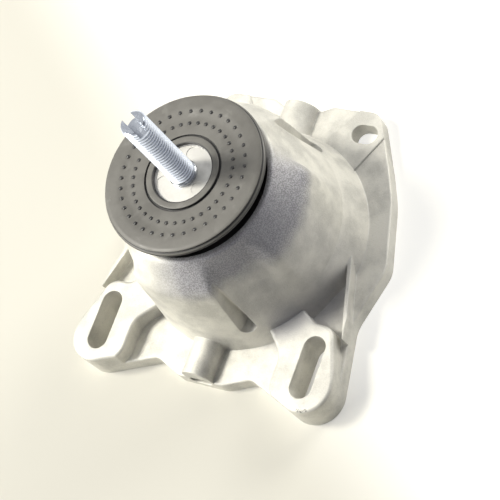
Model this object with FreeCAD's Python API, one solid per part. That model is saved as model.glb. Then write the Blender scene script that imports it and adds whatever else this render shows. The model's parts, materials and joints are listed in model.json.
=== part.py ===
import FreeCAD, Part
import math
import os

# Engine mount: a die-cast aluminium bell on a flange, a rubber spring inside it, a core with a threaded
# stud on top, and a rubber-coated stop disc over the bell's mouth. Millimetres, +Z along the stud's axis,
# +X to the right and +Y away from the slotted ears. The origin is on that axis, on the flange's underside.

V = FreeCAD.Vector
CENTRE = V(0, 0, 0)
UP = V(0, 0, 1)

# Flange plate. Each corner is (x, y, radius), where the radius rounds it off
PLATE_T = 8.0
PLATE_EDGE_R = 0.9
SIDE_CORNER = (70.2, -0.5, 14.0)
SIDE_BEND = (61.4, 32.0, 60.0)
FRONT_CORNER = (12.0, -69.2, 10.0)

# Ears, whose corners are measured from the slot's centre
EAR_T = 17.0
EAR_X = 54.4
EAR_Y = -54.1
EAR_NOTCH = (-29.2, -9.3, 5.0)
EAR_CORNER = (18.2, -28.5, 13.0)
EAR_WAIST = (8.6, 25.6, 18.0)
EAR_PAD = (
    (-18.8, 30.1, 0.0),
    (-4.9, 20.3, 4.0),
    (5.3, 20.0, 7.0),
    (17.9, -13.9, 0.0),
    (17.9, -28.7, 0.0),
    (-15.5, -15.9, 9.7),
    (-15.5, 2.9, 10.0),
    (-27.0, 15.2, 0.0),
)
EAR_EDGE_R = 1.6
SLOT_W = 10.5
SLOT_L = 29.1

# Lugs, whose corners are measured from the hole's centre
LUG_T = 8.8
LUG_X = 36.8
LUG_Y = 61.4
LUG_DIP = (-26.3, 8.9, 2.0)
LUG_INNER_CORNER = (-20.8, 11.9, 5.0)
LUG_OUTER_CORNER = (4.0, 11.6, 7.5)
LUG_WAIST = (17.5, -14.4, 12.0)
LUG_PAD = (
    (-25.4, -16.2, 0.0),
    (-4.3, 14.9, 0.0),
    (14.6, 14.9, 0.0),
    (12.8, 5.1, 0.0),
    (-3.0, -27.1, 0.0),
)
LUG_HOLE_L = 13.2
LUG_HOLE_W = 9.4
LUG_EDGE_R = 0.6

# Half-round ridges on the flange, front and rear, and the passage under the front one
FRONT_RIDGE_R = 7.3
FRONT_RIDGE_Z = 10.5
FRONT_RIDGE_Y = -69.2
REAR_RIDGE_R = 9.0
REAR_RIDGE_Z = 7.0
REAR_RIDGE_Y = 70.6
PASSAGE_W = 11.5
PASSAGE_H = 5.8
PASSAGE_Z = 6.4

# Thin curved ribs between the bell and the ears, along an arc through three points
RIB_W = 1.8
RIB_TOP_Z = 15.0
RIB_START = (54.5, 0.0)
RIB_MIDDLE = (60.1, -20.2)
RIB_END = (65.4, -38.0)

# Bell. Its pads have a steep wall under a sloping cap, and the valleys between them are one plain cone.
# Its foot flares out below the waist behind the right and left sides. Angles are in degrees
BELL_H = 70.0
BELL_FOOT_R = 53.2
BELL_DRAFT = 0.117
CAP_R = 37.2
CAP_SLOPE = 0.74
CAP_EDGE_R = 36.0
CAP_EDGE_H = 1.0
VALLEY_R = 38.0
VALLEY_SLOPE = 0.292
SHOULDER_DROP = 13.0
SHOULDER_SOFTNESS = 1.0
PAD_BLEND = 6.5
SIDE_PAD_HALF = 27.0
END_PAD_HALF = 26.0
WAIST_Z = 24.5
FLARE = 4.4
FLARE_AZ = 92.0
FLARE_BLEND = 20.0
SECTION_STEP = 5.0
WALL_SECTIONS = 4
SHOULDER_SECTIONS = (-2.0, 0.0, 2.0, 4.0)

# Wedge pockets in the bell's flank
POCKET_AZ = 61.8
POCKET_APEX_R = 43.4
POCKET_APEX_ROUND = 1.0
POCKET_HALF_W = 4.0
POCKET_MOUTH_R = 52.0
POCKET_FLOOR_Z = 21.0
POCKET_FLOOR_R = 4.0

# Hollow of the bell
BORE_R = 46.5
SEAT_Z = 20.0
RING_R = 40.2
RING_TOP_Z = 34.0
MOUTH_R = 35.0
MOUTH_DEPTH = 9.0

# Stack in the bore, from the seat downwards
FIT_CLEARANCE = 0.1
RING_T = 2.0
UPPER_PLATE_T = 3.3
LOWER_PLATE_T = 3.8
RIM_T = 1.5
RIM_W = 6.0
CUP_T = 1.2
CUP_DEPTH = 6.4
CUP_HOLE_R = 8.0
RETAINER_T = 1.5
RETAINER_GROOVE = 1.5
RETAINER_W = 4.8
RETAINER_GAP = 16.0
MEMBRANE_R = 19.8
MEMBRANE_T = 2.4
MEMBRANE_CLEARANCE = 0.2
CHANNEL_R = 31.0
CHANNEL_W = 6.0
CHANNEL_D = 2.4
CHANNEL_PORT_AZ = 30.0
WINDOW_R = 3.0
WINDOW_COUNT = 6
WINDOW_PITCH_R = 11.5
FOLD_R = 32.0
FOLD_W = 8.0
FOLD_D = 3.0
SKIN_T = 1.0

# Core
CORE_R = 13.6
CORE_RECESS = 2.3
CORE_SHOULDER_R = 19.0
CORE_SHOULDER_H = 6.0
CORE_WIDE_R = 21.0
CORE_WIDE_DROP = 14.0
CORE_TIP_R = 10.0
CORE_TIP_Z = 34.0
EJECTOR_R = 2.9
EJECTOR_RING_R = 10.2
EJECTOR_D = 0.25
EJECTOR_AZ = (90, 210, 330)

# Rubber spring between the core and the ring
SPRING_TOP_DROP = 3.0
SPRING_TIP_RISE = 3.0
SPRING_EDGE = 1.2

# Stop disc. What is called _IN is measured inwards from the disc's edge
DISC_GAP = 7.4
DISC_T = 3.6
DISC_R = 38.1
FACE_IN = 2.2
DISH_D = 0.7
DISH_START_IN = 6.9
DISH_END_IN = 11.7
LIP_CLEARANCE = 0.3
LIP_R = 17.3
LIP_DROP = 0.25
LIP_ROUND = 0.4
GROOVE_W = 0.6
GROOVE_D = 0.8
BEAD_UNDER_IN = 0.5
BEAD_LOW_H = 0.7
BEAD_HIGH_H = 1.5
BEAD_IN = 0.6
BEAD_H = 2.2
EDGE_DIP_IN = 1.4
EDGE_DIP_H = 2.5
EDGE_IN = 1.0
EDGE_LOW_H = 2.8
EDGE_DROP = 0.3
WASHER_T = 1.4
WASHER_SKIN = 0.5
WASHER_IN = 3.1
BUMP_COUNT = 36
BUMP_RING_IN = (14.37, 8.6)
BUMP_R = 0.95
BUMP_TOP_R = 0.5
BUMP_H = 0.5
BUMP_PHASE = 4.7

# Stud, thread size M12
STUD_R = 6.0
STUD_REACH = 44.8
STUD_ROOT = 33.0
STUD_CHAMFER = 0.9
COLLAR_R = 6.4
COLLAR_H = 1.7
COLLAR_SEAT = 1.0
CROSS_SLOT_W = 4.5
CROSS_SLOT_D = 4.8
CROSS_SLOT_AZ = -28.6

# How far a cutting tool passes beyond the face it starts from
OVERSHOOT = 1.0

# Heights and radii that follow
DISC_UNDER_Z = BELL_H + DISC_GAP
DISC_FACE_Z = DISC_UNDER_Z + DISC_T
CORE_FACE_Z = DISC_FACE_Z - CORE_RECESS
STUD_TIP_Z = DISC_FACE_Z + STUD_REACH
STUD_ROOT_Z = CORE_FACE_Z - STUD_ROOT
CORE_WIDE_Z = DISC_UNDER_Z - CORE_WIDE_DROP
RING_UNDER_Z = SEAT_Z - RING_T
UPPER_UNDER_Z = RING_UNDER_Z - UPPER_PLATE_T
LOWER_UNDER_Z = UPPER_UNDER_Z - LOWER_PLATE_T
RIM_UNDER_Z = LOWER_UNDER_Z - RIM_T
CUP_UNDER_Z = RIM_UNDER_Z - CUP_T
RETAINER_UNDER_Z = CUP_UNDER_Z - RETAINER_T
RING_IN_R = RING_R - RING_T
STACK_R = BORE_R - FIT_CLEARANCE
RIM_IN_R = BORE_R - RIM_W
POCKET_DEPTH = (MEMBRANE_T + MEMBRANE_CLEARANCE) / 2
MOUTH_CONE_Z = BELL_H - MOUTH_DEPTH
COLLAR_FOOT_Z = CORE_FACE_Z - COLLAR_SEAT
DISH_START_R = DISC_R - DISH_START_IN
DISH_END_R = DISC_R - DISH_END_IN


def at(radius, azimuth, z):
    """Point at a radius, an azimuth in degrees and a height."""
    angle = math.radians(azimuth)
    return V(radius * math.cos(angle), radius * math.sin(angle), z)


def rounded_wire(corners, z):
    """Closed wire at height z through (x, y, radius) corners, each rounded by a tangent arc."""
    joints = []
    for i, (x, y, radius) in enumerate(corners):
        here = V(x, y, z)
        if radius == 0:
            joints.append((here, None, here))
            continue
        before = V(*corners[i - 1][:2], z)
        after = V(*corners[(i + 1) % len(corners)][:2], z)
        back = (before - here).normalize()
        ahead = (after - here).normalize()
        half = back.getAngle(ahead) / 2
        reach = radius / math.tan(half)
        middle = (back + ahead).normalize()
        on_arc = here + middle * (radius / math.sin(half) - radius)
        joints.append((here + back * reach, on_arc, here + ahead * reach))
    edges = []
    for i, (start, on_arc, end) in enumerate(joints):
        if on_arc is not None:
            edges.append(Part.Arc(start, on_arc, end).toShape())
        following = joints[(i + 1) % len(joints)][0]
        edges.append(Part.LineSegment(end, following).toShape())
    return Part.Wire(edges)


def prism(corners, low, high):
    """Upright prism between two heights from rounded corners."""
    return Part.Face(rounded_wire(corners, low)).extrude(UP * (high - low))


def turned(profile):
    """Full turn about the Z axis of a closed (radius, height) outline."""
    points = [V(r, 0, z) for r, z in profile]
    return Part.Face(Part.makePolygon(points + [points[0]])).revolve(CENTRE, UP, 360)


def disc(radius, low, high):
    """Upright cylinder on the axis between two heights."""
    return Part.makeCylinder(radius, high - low, V(0, 0, low))


def tube(inner, outer, low, high):
    """Ring between two radii and two heights."""
    return disc(outer, low, high).cut(disc(inner, low, high))


def with_mirror_image(shape):
    """A shape and its image on the other side of the YZ plane."""
    return [shape, shape.mirror(CENTRE, V(1, 0, 0))]


def moved_corners(corners, x, y):
    """Corners measured from a feature, placed at that feature."""
    return [(x + dx, y + dy, radius) for dx, dy, radius in corners]


def oval(length, width, depth):
    """Bar with round ends, its length along X and its width along Y, upwards from z = 0."""
    half = (length - width) / 2
    radius = width / 2
    edges = [
        Part.LineSegment(V(-half, -radius, 0), V(half, -radius, 0)).toShape(),
        Part.Arc(V(half, -radius, 0), V(half + radius, 0, 0), V(half, radius, 0)).toShape(),
        Part.LineSegment(V(half, radius, 0), V(-half, radius, 0)).toShape(),
        Part.Arc(V(-half, radius, 0), V(-half - radius, 0, 0), V(-half, -radius, 0)).toShape(),
    ]
    return Part.Face(Part.Wire(edges)).extrude(UP * depth)


def rounded_top(solid, top_z, radius):
    """A solid with the edges of its top rounded."""
    return solid.makeFillet(radius, [e for e in solid.Edges if e.BoundBox.ZMin > top_z - radius / 2])


def flange_corners():
    """The flange's whole outline, counter-clockwise from the front."""
    ear = moved_corners([EAR_NOTCH, EAR_CORNER, EAR_WAIST], EAR_X, EAR_Y)
    lug = moved_corners([LUG_WAIST, LUG_OUTER_CORNER, LUG_INNER_CORNER, LUG_DIP], LUG_X, LUG_Y)
    right = [FRONT_CORNER] + ear + [SIDE_CORNER, SIDE_BEND] + lug
    left = [(-x, y, radius) for x, y, radius in reversed(right)]
    return right + left


def raised_pad(corners, top_z, edge_r):
    """A pad on the flange that shares the flange's outer edge."""
    pad = prism(corners, 0, top_z).common(prism(flange_corners(), 0, top_z))
    return rounded_top(pad, top_z, edge_r)


def ridge(radius, axis_z, end_y):
    """Half-round ridge on upright sides, from the bell's foot out to end_y."""
    low = Part.makeBox(2 * radius, abs(end_y), axis_z, V(-radius, min(end_y, 0), 0))
    top = Part.makeCylinder(radius, abs(end_y), V(0, min(end_y, 0), axis_z), V(0, 1, 0))
    return low.fuse(top).common(disc(2 * abs(end_y), 0, axis_z + radius))


def rib():
    """Thin curved rib on the right, from the bell to the ear."""
    side = V(RIB_W / 2, 0, 0)
    path = [V(x, y, 0) for x, y in (RIB_START, RIB_MIDDLE, RIB_END)]
    inner = [p - side for p in path]
    outer = [p + side for p in reversed(path)]
    edges = [
        Part.Arc(*inner).toShape(),
        Part.LineSegment(inner[2], outer[0]).toShape(),
        Part.Arc(*outer).toShape(),
        Part.LineSegment(outer[2], inner[0]).toShape(),
    ]
    return Part.Face(Part.Wire(edges)).extrude(UP * RIB_TOP_Z).common(prism(flange_corners(), 0, RIB_TOP_Z))


def eased(share):
    """Smooth passage from 0 to 1."""
    share = min(max(share, 0), 1)
    return share * share * (3 - 2 * share)


def softly_less(first, second, softness):
    """The smaller of two radii, with the corner between them rounded."""
    return (first + second - math.hypot(first - second, softness)) / 2


def angle_between(azimuth, other):
    """Angle from one azimuth to another, 0 to 180 degrees."""
    return abs((azimuth - other + 180) % 360 - 180)


def pad_share(azimuth):
    """1 on the four pads of the bell, 0 in the valleys between them."""
    pads = ((0, SIDE_PAD_HALF), (180, SIDE_PAD_HALF), (90, END_PAD_HALF), (270, END_PAD_HALF))
    return max(1 - eased((angle_between(azimuth, middle) - half) / PAD_BLEND) for middle, half in pads)


def bell_radius(azimuth, z):
    """Radius of the bell's outside at an azimuth and a height."""
    if z >= BELL_H:
        return CAP_EDGE_R
    depth = BELL_H - z
    wall = BELL_FOOT_R - (z - PLATE_T) * BELL_DRAFT
    pad = softly_less(CAP_R + depth * CAP_SLOPE, wall, SHOULDER_SOFTNESS)
    valley = softly_less(VALLEY_R + depth * VALLEY_SLOPE, wall, SHOULDER_SOFTNESS)
    radius = valley + pad_share(azimuth) * (pad - valley)
    behind = 1 - eased((angle_between(azimuth, 90) - FLARE_AZ) / FLARE_BLEND)
    spread = max(WAIST_Z - z, 0) / (WAIST_Z - PLATE_T)
    return radius + FLARE * behind * min(spread, 1)


def bell_section(z):
    """Closed curve round the bell at a height."""
    azimuths = [i * SECTION_STEP for i in range(round(360 / SECTION_STEP))]
    curve = Part.BSplineCurve()
    curve.interpolate([at(bell_radius(azimuth, z), azimuth, z) for azimuth in azimuths], PeriodicFlag=True)
    return Part.Wire(curve.toShape())


def bell():
    """The bell as a solid: a straight-sided foot, and above its waist a smooth loft through sections."""
    shoulder = BELL_H - SHOULDER_DROP
    cap = [shoulder + offset for offset in SHOULDER_SECTIONS]
    step = (cap[0] - WAIST_Z) / WALL_SECTIONS
    wall = [WAIST_Z + i * step for i in range(WALL_SECTIONS)]
    edge = BELL_H - CAP_EDGE_H
    top = [(cap[-1] + edge) / 2, edge - CAP_EDGE_H, edge, BELL_H]
    foot = Part.makeLoft([bell_section(z) for z in (PLATE_T / 2, PLATE_T, WAIST_Z)], True, True)
    return foot.fuse(Part.makeLoft([bell_section(z) for z in wall + cap + top], True, False))


def pocket(azimuth):
    """Tool for one wedge pocket: narrow towards the axis, open outwards and upwards, with a round floor."""
    slope = POCKET_HALF_W / (POCKET_MOUTH_R - POCKET_APEX_R)
    tip = POCKET_APEX_R - POCKET_APEX_ROUND
    reach = 2 * POCKET_MOUTH_R
    half = slope * (reach - tip)
    corners = [(tip, 0, POCKET_APEX_ROUND), (reach, -half, 0), (reach, half, 0)]
    axis_z = POCKET_FLOOR_Z + POCKET_FLOOR_R
    trough = Part.makeCylinder(POCKET_FLOOR_R, reach, V(0, 0, axis_z), V(1, 0, 0))
    above = Part.makeBox(reach, 2 * half, BELL_H, V(0, -half, axis_z))
    tool = prism(corners, POCKET_FLOOR_Z, BELL_H).common(trough.fuse(above))
    tool.rotate(CENTRE, UP, azimuth)
    return tool


def hollow():
    """Tool for the inside of the bell: bore, ring seat, cone and mouth."""
    groove = RETAINER_UNDER_Z - FIT_CLEARANCE
    return turned([
        (0, -OVERSHOOT),
        (BORE_R, -OVERSHOOT),
        (BORE_R, groove),
        (BORE_R + RETAINER_GROOVE, groove),
        (BORE_R + RETAINER_GROOVE, CUP_UNDER_Z),
        (BORE_R, CUP_UNDER_Z),
        (BORE_R, SEAT_Z),
        (RING_R, SEAT_Z),
        (RING_R, RING_TOP_Z),
        (MOUTH_R, MOUTH_CONE_Z),
        (MOUTH_R, BELL_H + OVERSHOOT),
        (0, BELL_H + OVERSHOOT),
    ])


def passage():
    """Tool for the flat oval passage under the front ridge."""
    tool = oval(PASSAGE_W, PASSAGE_H, abs(FRONT_RIDGE_Y) + OVERSHOOT - RING_R)
    tool.rotate(CENTRE, V(1, 0, 0), 90)
    tool.translate(V(0, -RING_R, PASSAGE_Z))
    return tool


def slot():
    """Tool for the slot in the right ear."""
    tool = oval(SLOT_L, SLOT_W, EAR_T)
    tool.rotate(CENTRE, UP, 90)
    tool.translate(V(EAR_X, EAR_Y, 0))
    return tool


def lug_hole():
    """Tool for the oval hole in the right lug."""
    tool = oval(LUG_HOLE_L, LUG_HOLE_W, LUG_T)
    tool.translate(V(LUG_X, LUG_Y, 0))
    return tool


def housing():
    """The casting: flange, ears, lugs, ridges, ribs and bell, with its openings cut."""
    plate = rounded_top(prism(flange_corners(), 0, PLATE_T), PLATE_T, PLATE_EDGE_R)
    ear = raised_pad(moved_corners(EAR_PAD, EAR_X, EAR_Y), EAR_T, EAR_EDGE_R)
    lug = raised_pad(moved_corners(LUG_PAD, LUG_X, LUG_Y), LUG_T, LUG_EDGE_R)
    ridges = [
        ridge(FRONT_RIDGE_R, FRONT_RIDGE_Z, FRONT_RIDGE_Y),
        ridge(REAR_RIDGE_R, REAR_RIDGE_Z, REAR_RIDGE_Y),
    ]
    added = ridges + with_mirror_image(ear) + with_mirror_image(lug) + with_mirror_image(rib())
    body = bell().fuse([plate] + added)
    pockets = [pocket(side + turn) for side in (90, -90) for turn in (90 - POCKET_AZ, POCKET_AZ - 90)]
    openings = with_mirror_image(slot()) + with_mirror_image(lug_hole())
    return body.cut(pockets + openings + [hollow(), passage()])


def stud():
    """Threaded stud at its outer size, with a collar at the core and a cross slot in its end."""
    shank = turned([
        (0, STUD_ROOT_Z),
        (STUD_R, STUD_ROOT_Z),
        (STUD_R, COLLAR_FOOT_Z),
        (COLLAR_R, COLLAR_FOOT_Z),
        (COLLAR_R, CORE_FACE_Z + COLLAR_H),
        (STUD_R, CORE_FACE_Z + COLLAR_H),
        (STUD_R, STUD_TIP_Z - STUD_CHAMFER),
        (STUD_R - STUD_CHAMFER, STUD_TIP_Z),
        (0, STUD_TIP_Z),
    ])
    length = 2 * COLLAR_R
    corner = V(-length / 2, -CROSS_SLOT_W / 2, STUD_TIP_Z - CROSS_SLOT_D)
    cross_slot = Part.makeBox(length, CROSS_SLOT_W, 2 * CROSS_SLOT_D, corner)
    cross_slot.rotate(CENTRE, UP, CROSS_SLOT_AZ)
    return shank.cut(cross_slot)


def core_radius(z):
    """Radius of the core's conical flank."""
    return CORE_TIP_R + (CORE_WIDE_R - CORE_TIP_R) * (z - CORE_TIP_Z) / (CORE_WIDE_Z - CORE_TIP_Z)


def core():
    """Cone that carries the stud, with a shoulder and a neck for the stop disc and ejector marks."""
    body = turned([
        (0, CORE_TIP_Z),
        (CORE_TIP_R, CORE_TIP_Z),
        (CORE_WIDE_R, CORE_WIDE_Z),
        (CORE_SHOULDER_R, DISC_UNDER_Z - CORE_SHOULDER_H),
        (CORE_SHOULDER_R, DISC_UNDER_Z),
        (CORE_R, DISC_UNDER_Z),
        (CORE_R, CORE_FACE_Z),
        (COLLAR_R, CORE_FACE_Z),
        (COLLAR_R, COLLAR_FOOT_Z),
        (STUD_R, COLLAR_FOOT_Z),
        (STUD_R, STUD_ROOT_Z),
        (0, STUD_ROOT_Z),
    ])
    low = CORE_FACE_Z - EJECTOR_D
    middles = [at(EJECTOR_RING_R, azimuth, low) for azimuth in EJECTOR_AZ]
    marks = [Part.makeCylinder(EJECTOR_R, OVERSHOOT, middle) for middle in middles]
    return body.cut(marks)


def main_spring():
    """Conical rubber between the core's flank and the inside of the ring."""
    low = CORE_TIP_Z + SPRING_TIP_RISE
    high = CORE_WIDE_Z - SPRING_TOP_DROP
    return turned([
        (core_radius(low), low),
        (core_radius(high), high),
        (RING_IN_R, RING_TOP_Z - SPRING_EDGE),
        (RING_IN_R, RING_UNDER_Z + SPRING_EDGE),
    ])


def spring_ring():
    """Steel ring pressed into the bell up to its flange."""
    return tube(RING_IN_R, RING_R, RING_UNDER_Z, RING_TOP_Z).fuse(tube(RING_IN_R, BORE_R, RING_UNDER_Z, SEAT_Z))


def windows(low, high):
    """Tools for the round windows over the membrane."""
    step = 360 / WINDOW_COUNT
    middles = [at(WINDOW_PITCH_R, i * step, low) for i in range(WINDOW_COUNT)]
    return [Part.makeCylinder(WINDOW_R, high - low, middle) for middle in middles]


def port(azimuth, low, high):
    """Tool for a port at one end of the damping channel."""
    return Part.makeCylinder(CHANNEL_W / 2, high - low, at(CHANNEL_R, azimuth, low))


def channel_plate_upper():
    """Upper plate of the pair, with windows, half of the membrane's pocket and one port."""
    body = disc(STACK_R, UPPER_UNDER_Z, RING_UNDER_Z)
    membrane_pocket = disc(MEMBRANE_R + MEMBRANE_CLEARANCE, UPPER_UNDER_Z, UPPER_UNDER_Z + POCKET_DEPTH)
    entry = port(CHANNEL_PORT_AZ, UPPER_UNDER_Z, RING_UNDER_Z)
    return body.cut(windows(UPPER_UNDER_Z, RING_UNDER_Z) + [membrane_pocket, entry])


def channel_plate_lower():
    """Lower plate of the pair, with the damping channel in its top and the other port."""
    body = disc(STACK_R, LOWER_UNDER_Z, UPPER_UNDER_Z)
    membrane_pocket = disc(MEMBRANE_R + MEMBRANE_CLEARANCE, UPPER_UNDER_Z - POCKET_DEPTH, UPPER_UNDER_Z)
    section = Part.makePlane(CHANNEL_W, CHANNEL_D, V(CHANNEL_R - CHANNEL_W / 2, 0, UPPER_UNDER_Z), V(0, 1, 0))
    channel = section.revolve(CENTRE, UP, 360 - 2 * CHANNEL_PORT_AZ)
    channel.rotate(CENTRE, UP, CHANNEL_PORT_AZ)
    inlet = port(CHANNEL_PORT_AZ, UPPER_UNDER_Z - CHANNEL_D, UPPER_UNDER_Z)
    outlet = port(-CHANNEL_PORT_AZ, LOWER_UNDER_Z, UPPER_UNDER_Z)
    return body.cut(windows(LOWER_UNDER_Z, UPPER_UNDER_Z) + [membrane_pocket, channel, inlet, outlet])


def decoupler_membrane():
    """Loose rubber disc that lies in the pocket between the two plates."""
    low = UPPER_UNDER_Z - POCKET_DEPTH
    return disc(MEMBRANE_R, low, low + MEMBRANE_T)


def diaphragm():
    """Thin rubber with one fold, clamped by its rim under the lower plate."""
    flat = RIM_UNDER_Z
    inside = FOLD_R - FOLD_W / 2
    outside = FOLD_R + FOLD_W / 2
    return turned([
        (0, flat),
        (inside, flat),
        (inside + SKIN_T, flat - FOLD_D),
        (outside - SKIN_T, flat - FOLD_D),
        (outside, flat),
        (STACK_R, flat),
        (STACK_R, LOWER_UNDER_Z),
        (RIM_IN_R, LOWER_UNDER_Z),
        (outside + SKIN_T, flat + SKIN_T),
        (outside - 2 * SKIN_T, flat - FOLD_D + SKIN_T),
        (inside + 2 * SKIN_T, flat - FOLD_D + SKIN_T),
        (inside + SKIN_T, flat + SKIN_T),
        (0, flat + SKIN_T),
    ])


def bottom_cup():
    """Pressed steel cup under the diaphragm, with a breather hole."""
    floor = RIM_UNDER_Z - CUP_DEPTH
    return turned([
        (CUP_HOLE_R, floor),
        (RIM_IN_R + CUP_T, floor),
        (RIM_IN_R + CUP_T, CUP_UNDER_Z),
        (STACK_R, CUP_UNDER_Z),
        (STACK_R, RIM_UNDER_Z),
        (RIM_IN_R, RIM_UNDER_Z),
        (RIM_IN_R, floor + CUP_T),
        (CUP_HOLE_R, floor + CUP_T),
    ])


def retaining_ring():
    """Spring steel ring in the bore's groove, open at the front passage."""
    outer = BORE_R + RETAINER_GROOVE - FIT_CLEARANCE
    body = tube(outer - RETAINER_W, outer, RETAINER_UNDER_Z, CUP_UNDER_Z)
    corner = V(-RETAINER_GAP / 2, -2 * outer, RETAINER_UNDER_Z)
    return body.cut(Part.makeBox(RETAINER_GAP, 2 * outer, RETAINER_T, corner))


def stop_disc_plate():
    """Steel washer inside the rubber, seated on the core's neck."""
    low = DISC_UNDER_Z + WASHER_SKIN
    return tube(CORE_R, DISC_R - WASHER_IN, low, low + WASHER_T)


def bumps():
    """Two rings of low studs on the stop disc's face, rooted in the rubber."""
    studs = []
    for inwards in BUMP_RING_IN:
        ring_r = DISC_R - inwards
        foot = face_height(ring_r)
        for i in range(BUMP_COUNT):
            middle = at(ring_r, BUMP_PHASE + i * 360 / BUMP_COUNT, foot - BUMP_H)
            studs.append(Part.makeCone(2 * BUMP_R - BUMP_TOP_R, BUMP_TOP_R, 2 * BUMP_H, middle))
    return studs


def face_height(radius):
    """Height of the slightly dished rubber face."""
    share = (DISH_START_R - radius) / (DISH_START_R - DISH_END_R)
    return DISC_FACE_Z - DISH_D * min(max(share, 0), 1)


def stop_disc_rubber():
    """Rubber round the washer: dished face with domes, lip and groove inside, beaded edge outside."""
    lip_in = CORE_R + LIP_CLEARANCE
    lip_top = DISC_FACE_Z - LIP_DROP
    groove_out = LIP_R + GROOVE_W
    dished = face_height(DISH_END_R)
    body = turned([
        (lip_in, DISC_UNDER_Z),
        (DISC_R - BEAD_UNDER_IN, DISC_UNDER_Z),
        (DISC_R, DISC_UNDER_Z + BEAD_LOW_H),
        (DISC_R, DISC_UNDER_Z + BEAD_HIGH_H),
        (DISC_R - BEAD_IN, DISC_UNDER_Z + BEAD_H),
        (DISC_R - EDGE_DIP_IN, DISC_UNDER_Z + EDGE_DIP_H),
        (DISC_R - EDGE_IN, DISC_UNDER_Z + EDGE_LOW_H),
        (DISC_R - EDGE_IN, DISC_FACE_Z - EDGE_DROP),
        (DISC_R - FACE_IN, DISC_FACE_Z),
        (DISH_START_R, DISC_FACE_Z),
        (DISH_END_R, dished),
        (groove_out, dished),
        (groove_out, dished - GROOVE_D),
        (LIP_R, dished - GROOVE_D),
        (LIP_R, lip_top - LIP_ROUND),
        (LIP_R - LIP_ROUND, lip_top),
        (lip_in + LIP_ROUND, lip_top),
        (lip_in, lip_top - LIP_ROUND),
    ])
    return body.fuse(bumps()).cut(stop_disc_plate())


PIECES = (
    housing,
    stud,
    core,
    main_spring,
    spring_ring,
    channel_plate_upper,
    channel_plate_lower,
    decoupler_membrane,
    diaphragm,
    bottom_cup,
    retaining_ring,
    stop_disc_plate,
    stop_disc_rubber,
)


def main():
    os.makedirs("parts", exist_ok=True)
    for piece in PIECES:
        shape = piece()
        shape.exportStep(os.path.join("parts", piece.__name__ + ".step"))
        print(piece.__name__, shape.isValid(), len(shape.Solids), round(shape.Volume, 1))


main()
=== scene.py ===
import json
import math

import bmesh
import bpy
from bpy.props import (
    FloatProperty, FloatVectorProperty, IntProperty, PointerProperty,
)
from bpy.types import Operator, Panel, PropertyGroup
from mathutils import Matrix, Vector

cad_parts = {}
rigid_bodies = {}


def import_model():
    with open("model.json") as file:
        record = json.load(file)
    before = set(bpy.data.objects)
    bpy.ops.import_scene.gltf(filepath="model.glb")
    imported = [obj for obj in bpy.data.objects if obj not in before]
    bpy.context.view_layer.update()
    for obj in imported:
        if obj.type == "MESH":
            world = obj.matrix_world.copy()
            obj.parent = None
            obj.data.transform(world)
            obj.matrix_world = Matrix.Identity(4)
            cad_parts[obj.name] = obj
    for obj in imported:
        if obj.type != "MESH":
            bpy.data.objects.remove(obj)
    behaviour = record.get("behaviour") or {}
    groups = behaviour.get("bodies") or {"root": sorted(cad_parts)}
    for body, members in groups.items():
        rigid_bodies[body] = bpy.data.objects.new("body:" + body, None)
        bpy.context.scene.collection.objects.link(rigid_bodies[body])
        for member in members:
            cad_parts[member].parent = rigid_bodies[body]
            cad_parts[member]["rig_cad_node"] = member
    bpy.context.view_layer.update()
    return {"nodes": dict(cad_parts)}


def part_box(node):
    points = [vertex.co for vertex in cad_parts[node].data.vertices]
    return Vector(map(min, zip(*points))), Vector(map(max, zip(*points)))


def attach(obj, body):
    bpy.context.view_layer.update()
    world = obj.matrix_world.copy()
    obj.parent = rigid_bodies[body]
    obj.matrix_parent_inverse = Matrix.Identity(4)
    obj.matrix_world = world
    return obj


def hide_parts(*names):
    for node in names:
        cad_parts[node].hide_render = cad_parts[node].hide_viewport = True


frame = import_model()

# Looks of an engine mount: blasted die-cast housing, rubber-coated stop disc with two rings of domed
# bumps, bright core and long zinc-plated stud. Metres, in the same frame as the solids.

bl_info = {
    "name": "Engine mount looks",
    "version": (1, 0, 0),
    "blender": (4, 5, 0),
    "location": "View3D > Sidebar > Engine mount",
    "description": "Dresses a packed engine mount with its real finishes, thread and bumps",
    "category": "Object",
}

MM = 0.001
BODY = "root"
CORE_FACE_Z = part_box("core")[1].z
STUD_LOW, STUD_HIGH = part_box("stud")
DISC_LOW, DISC_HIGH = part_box("stop_disc_rubber")
HOUSING_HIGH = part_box("housing")[1]

# Points closer than the first length are joined, and edges shorter than the second one are removed
SAME_POINT = 0.002 * MM
NO_LENGTH = 0.001 * MM


def length(name, description, default):
    """Size in metres that a user can set."""
    return FloatProperty(name=name, description=description, default=default, unit="LENGTH", precision=5)


def angle(name, description, degrees):
    """Angle that a user can set."""
    return FloatProperty(name=name, description=description, default=math.radians(degrees), unit="ROTATION")


def colour(name, description, default):
    """Linear colour that a user can set."""
    return FloatVectorProperty(
        name=name, description=description, default=default, size=3, min=0, max=1, subtype="COLOR"
    )


def level(name, description, default):
    """Level of light that a user can set."""
    return FloatProperty(name=name, description=description, default=default)


class MountStudSizes(PropertyGroup):
    radius: length("Thread radius", "Outer radius of the thread", 6.0 * MM)
    pitch: length("Pitch", "Rise of the thread in one turn", 1.75 * MM)
    depth: length("Thread depth", "Depth of the thread from crest to root", 1.05 * MM)
    chamfer: length("Chamfer", "Height of the cone at the tip", 0.9 * MM)
    collar_height: length("Collar height", "Plain collar above the core's face", 1.7 * MM)
    collar_seat: length("Collar seat", "Part of the collar below the core's face", 1.0 * MM)
    slot_width: length("Slot width", "Width of the cross slot in the tip", 4.5 * MM)
    slot_depth: length("Slot depth", "Depth of the cross slot in the tip", 4.8 * MM)
    slot_turn: angle("Slot turn", "Direction of the cross slot", -28.6)
    columns: IntProperty(name="Columns", description="Points round one turn", default=72, min=24)


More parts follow.
